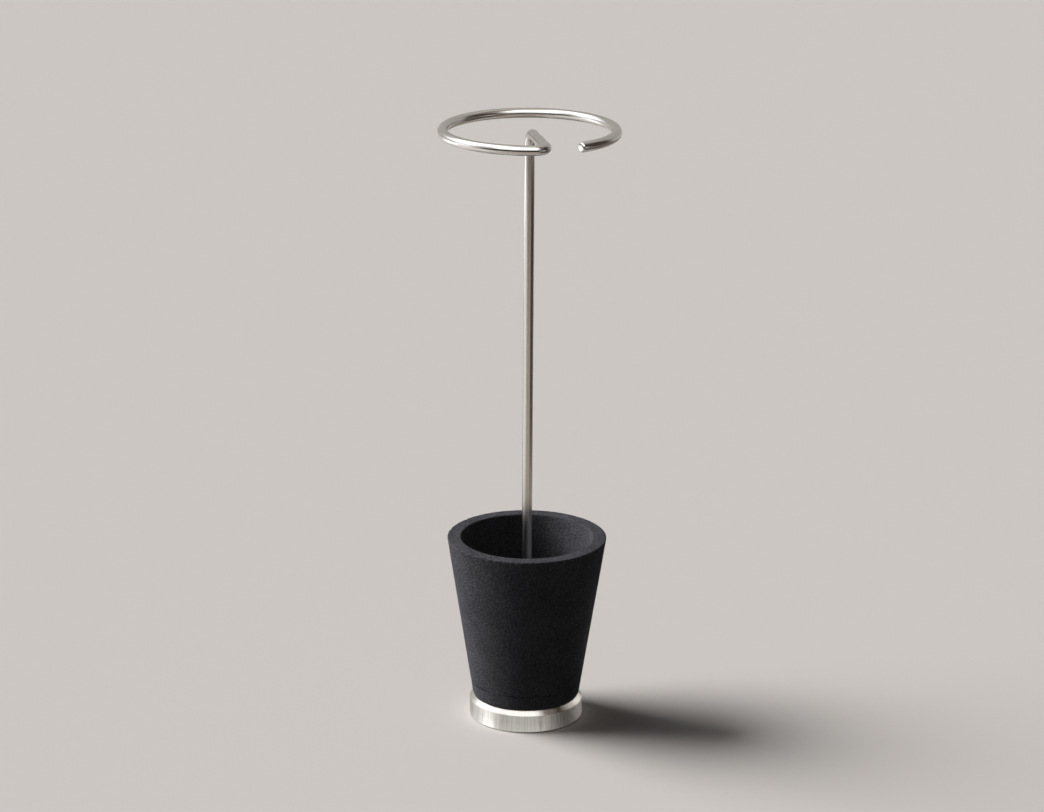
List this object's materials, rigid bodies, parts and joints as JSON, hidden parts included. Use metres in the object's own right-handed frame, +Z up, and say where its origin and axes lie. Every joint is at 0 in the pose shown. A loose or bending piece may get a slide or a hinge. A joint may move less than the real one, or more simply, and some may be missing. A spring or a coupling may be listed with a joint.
{
  "type": "umbrella stand",
  "caption": "Free-standing umbrella stand: a bent round bar ending in an open ring, screwed through a conical pot into a thick turned base disc.",
  "frame": {"origin": "on the floor, at the middle of the pad's underside, on the common axis of disc, pot and bar", "axes": "+Z up along the upright; the spoke under the ring points along -Y; +X is to the right when the spoke points at the viewer"},
  "size_m": [0.1758, 0.1748, 0.6],
  "materials": {
    "bar_steel": "polished stainless bar, bright on the ring and satin on the upright",
    "disc_steel": "turned and finely brushed stainless, bright on the chamfer",
    "fitting_steel": "plain turned stainless",
    "pot_stone": "matt black cast stone with a fine granular face",
    "rubber": "plain black rubber",
    "nylon": "natural nylon"
  },
  "bodies": {
    "foot": {"base_disc": "disc_steel", "floor_pad": "rubber", "seat_gasket": "rubber", "pot": "pot_stone", "pot_bush": "nylon"},
    "clamp": {"clamp_washer": "fitting_steel", "clamp_seal": "rubber"},
    "upright": {"upright_bar": "bar_steel", "foot_fitting": "fitting_steel", "cross_pin": "fitting_steel"}
  },
  "joints": [
    {"name": "upright_rise", "type": "slide", "parent": "foot", "child": "clamp", "axis": [0, 0, 1], "range_m": [0, 0.01125]},
    {"name": "upright_turn", "type": "hinge", "parent": "clamp", "child": "upright", "pos_m": [0, 0, 0.043], "axis": [0, 0, 1], "range_deg": [0, 2700]}
  ],
  "couplings": [
    {"joint": "upright_rise", "follows": "upright_turn", "m_per_rad": 0.00023873}
  ]
}
